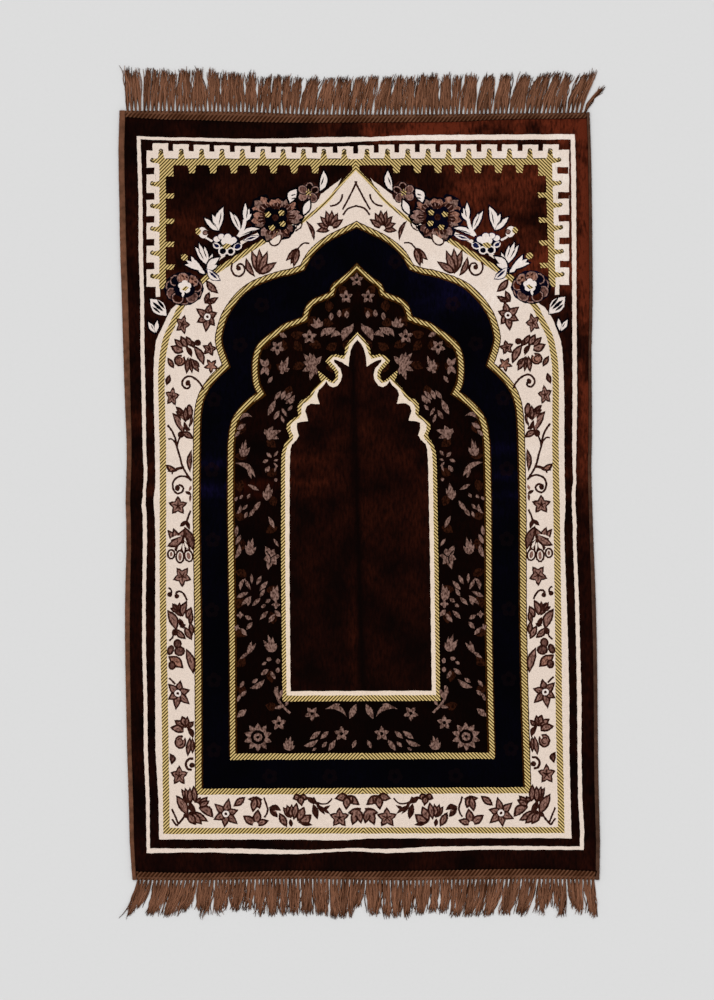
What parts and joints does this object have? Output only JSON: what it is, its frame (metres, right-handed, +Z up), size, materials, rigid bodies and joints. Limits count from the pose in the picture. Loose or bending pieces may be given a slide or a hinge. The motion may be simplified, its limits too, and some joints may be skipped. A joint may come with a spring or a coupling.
{
  "type": "prayer rug",
  "caption": "Small pile rug lying flat, with bound sides, ribbed headings and a fringe at each end; its pattern is a pointed niche within borders.",
  "frame": {"origin": "on the floor, under the middle of the rug's bounding box", "axes": "+Z up out of the pile, +Y along the rug towards the point of its niche, +X to the right seen from above"},
  "size_m": [0.7307, 1.2828, 0.0065],
  "materials": {
    "pile": "short plush pile, near black with a wine-brown sheen, patterned in pinkish beige, olive gold and dusty brown",
    "left_thread": "matt brown overcast thread",
    "right_thread": "matt dark olive-brown overcast thread",
    "fringe_yarn": "soft matt brown yarn"
  },
  "bodies": {
    "root": {"rug_cloth": "pile", "binding_left": "left_thread", "binding_right": "right_thread", "fringe_top": "fringe_yarn", "fringe_bottom": "fringe_yarn"}
  },
  "joints": []
}
